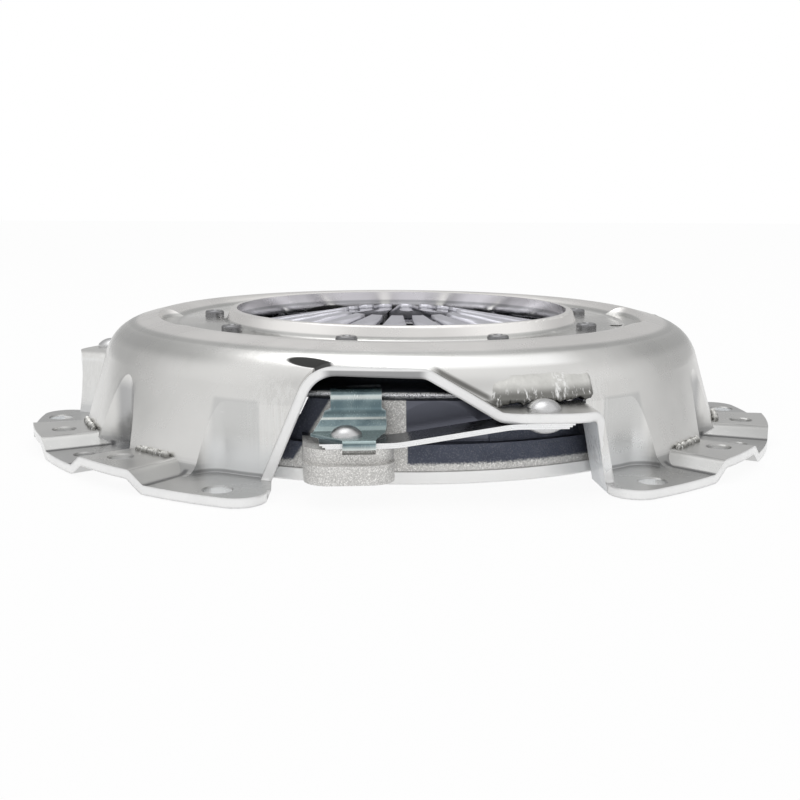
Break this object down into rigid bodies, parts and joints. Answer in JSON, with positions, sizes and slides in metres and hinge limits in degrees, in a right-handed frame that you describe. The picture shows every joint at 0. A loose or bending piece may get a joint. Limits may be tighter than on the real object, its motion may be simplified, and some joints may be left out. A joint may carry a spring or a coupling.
{
  "type": "clutch pressure plate",
  "caption": "Diaphragm-spring clutch cover assembly: a pressed steel cover, slotted cone spring and cast pressure plate on drive straps, clamping a clutch disc to a flywheel.",
  "frame": {"origin": "centre of the cover's seating face, on the axis of rotation, in the plane where the flange meets the flywheel", "axes": "+Z along the axis from the flywheel towards the release bearing; the middle of one strap window faces -Y"},
  "size_m": [0.296, 0.282, 0.0482],
  "materials": {
    "cover_steel": "bright drawn sheet steel, lightly oiled",
    "spring_steel": "shot-peened spring steel, pale grey",
    "wire_steel": "drawn wire",
    "cast_iron": "sandy casting with a fine-turned friction face",
    "fulcrum_steel": "dark rivet steel",
    "strap_steel": "bright strip steel",
    "clip_zinc": "blue-green passivated zinc",
    "rivet_steel": "bright rivet steel"
  },
  "bodies": {
    "cover_body": {"cover": "cover_steel", "diaphragm_spring": "spring_steel", "upper_pivot_ring": "wire_steel", "lower_pivot_ring": "wire_steel", "fulcrum_rivet_1": "fulcrum_steel", "fulcrum_rivet_2": "fulcrum_steel", "fulcrum_rivet_3": "fulcrum_steel", "fulcrum_rivet_4": "fulcrum_steel", "fulcrum_rivet_5": "fulcrum_steel", "fulcrum_rivet_6": "fulcrum_steel", "fulcrum_rivet_7": "fulcrum_steel", "fulcrum_rivet_8": "fulcrum_steel", "fulcrum_rivet_9": "fulcrum_steel", "drive_strap_1_upper_leaf": "strap_steel", "drive_strap_2_upper_leaf": "strap_steel", "drive_strap_3_upper_leaf": "strap_steel", "drive_strap_1_middle_leaf": "strap_steel", "drive_strap_2_middle_leaf": "strap_steel", "drive_strap_3_middle_leaf": "strap_steel", "drive_strap_1_lower_leaf": "strap_steel", "drive_strap_2_lower_leaf": "strap_steel", "drive_strap_3_lower_leaf": "strap_steel", "shelf_rivet_1": "rivet_steel", "shelf_rivet_2": "rivet_steel", "shelf_rivet_3": "rivet_steel"},
    "plate_body": {"pressure_plate": "cast_iron", "retracting_clip_1": "clip_zinc", "retracting_clip_2": "clip_zinc", "retracting_clip_3": "clip_zinc", "lug_rivet_1": "rivet_steel", "lug_rivet_2": "rivet_steel", "lug_rivet_3": "rivet_steel"}
  },
  "joints": [
    {"name": "plate_travel", "type": "slide", "parent": "cover_body", "child": "plate_body", "axis": [0, 0, 1], "range_m": [0, 0.0042], "stiffness_N_per_m": 20000, "deforming": ["diaphragm_spring", "drive_strap_1_upper_leaf", "drive_strap_2_upper_leaf", "drive_strap_3_upper_leaf", "drive_strap_1_middle_leaf", "drive_strap_2_middle_leaf", "drive_strap_3_middle_leaf", "drive_strap_1_lower_leaf", "drive_strap_2_lower_leaf", "drive_strap_3_lower_leaf"]}
  ]
}
